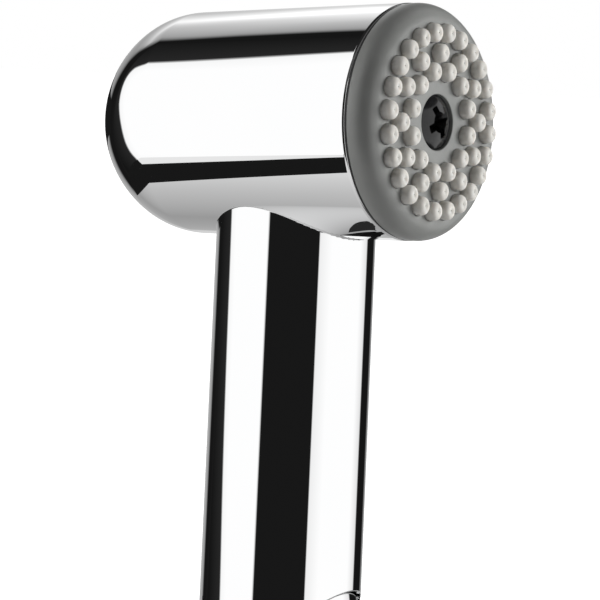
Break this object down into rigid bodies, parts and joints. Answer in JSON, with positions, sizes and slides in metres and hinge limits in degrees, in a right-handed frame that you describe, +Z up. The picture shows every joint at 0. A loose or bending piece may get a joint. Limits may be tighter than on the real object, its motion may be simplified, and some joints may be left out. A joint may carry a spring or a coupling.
{
  "type": "handheld bath sprayer",
  "caption": "Handheld bath sprayer: domed cylindrical head with a rubber nozzle face on a slim tapered handle, a press trigger that opens a valve, and a half-inch hose thread.",
  "frame": {"origin": "middle of the open end of the hose thread, on the handle axis", "axes": "+Z up the handle axis towards the head, +X the way the head sprays, +Y to the side; the part is symmetric about the XZ plane"},
  "size_m": [0.0706, 0.04, 0.1963],
  "materials": {
    "polished_chrome": "mirror-polished chrome plating",
    "grey_plastic": "satin moulded plastic",
    "nozzle_silicone": "soft matt silicone",
    "black_gasket": "matt rubber",
    "black_screw": "black coated steel",
    "cast_brass": "machined brass",
    "white_plastic": "moulded acetal",
    "seal_rubber": "nitrile rubber",
    "stainless_steel": "ground stainless steel"
  },
  "bodies": {
    "handset": {"body_shell": "polished_chrome", "face_gasket": "black_gasket", "face_plate": "grey_plastic", "nozzle_mat": "nozzle_silicone", "face_screw": "black_screw", "screw_insert": "cast_brass", "diffuser_plate": "white_plastic", "spray_chamber": "white_plastic", "outlet_tube": "white_plastic", "outlet_tube_o_rings": "seal_rubber", "valve_body": "cast_brass", "stem_o_ring": "seal_rubber", "stem_bush": "cast_brass", "valve_spring": "stainless_steel", "valve_cap": "cast_brass", "valve_cap_gasket": "seal_rubber", "trigger_pin": "stainless_steel", "inlet_tube": "white_plastic", "inlet_tube_o_rings": "seal_rubber", "inlet_nipple": "polished_chrome", "inlet_filter": "stainless_steel", "end_collar": "polished_chrome"},
    "trigger": {"trigger": "polished_chrome"},
    "stem": {"valve_stem": "stainless_steel", "valve_seat_washer": "seal_rubber"}
  },
  "joints": [
    {"name": "trigger_pivot", "type": "hinge", "parent": "handset", "child": "trigger", "pos_m": [0.0075, 0, 0.0855], "axis": [0, 1, 0], "range_deg": [0, 9], "stiffness_Nm_per_rad": 0.6, "springref_deg": -8.59},
    {"name": "stem_slide", "type": "slide", "parent": "handset", "child": "stem", "axis": [-1, 0, 0], "range_m": [0, 0.00252], "deforming": ["valve_spring"]}
  ],
  "couplings": [
    {"joint": "stem_slide", "follows": "trigger_pivot", "m_per_rad": 0.016}
  ]
}
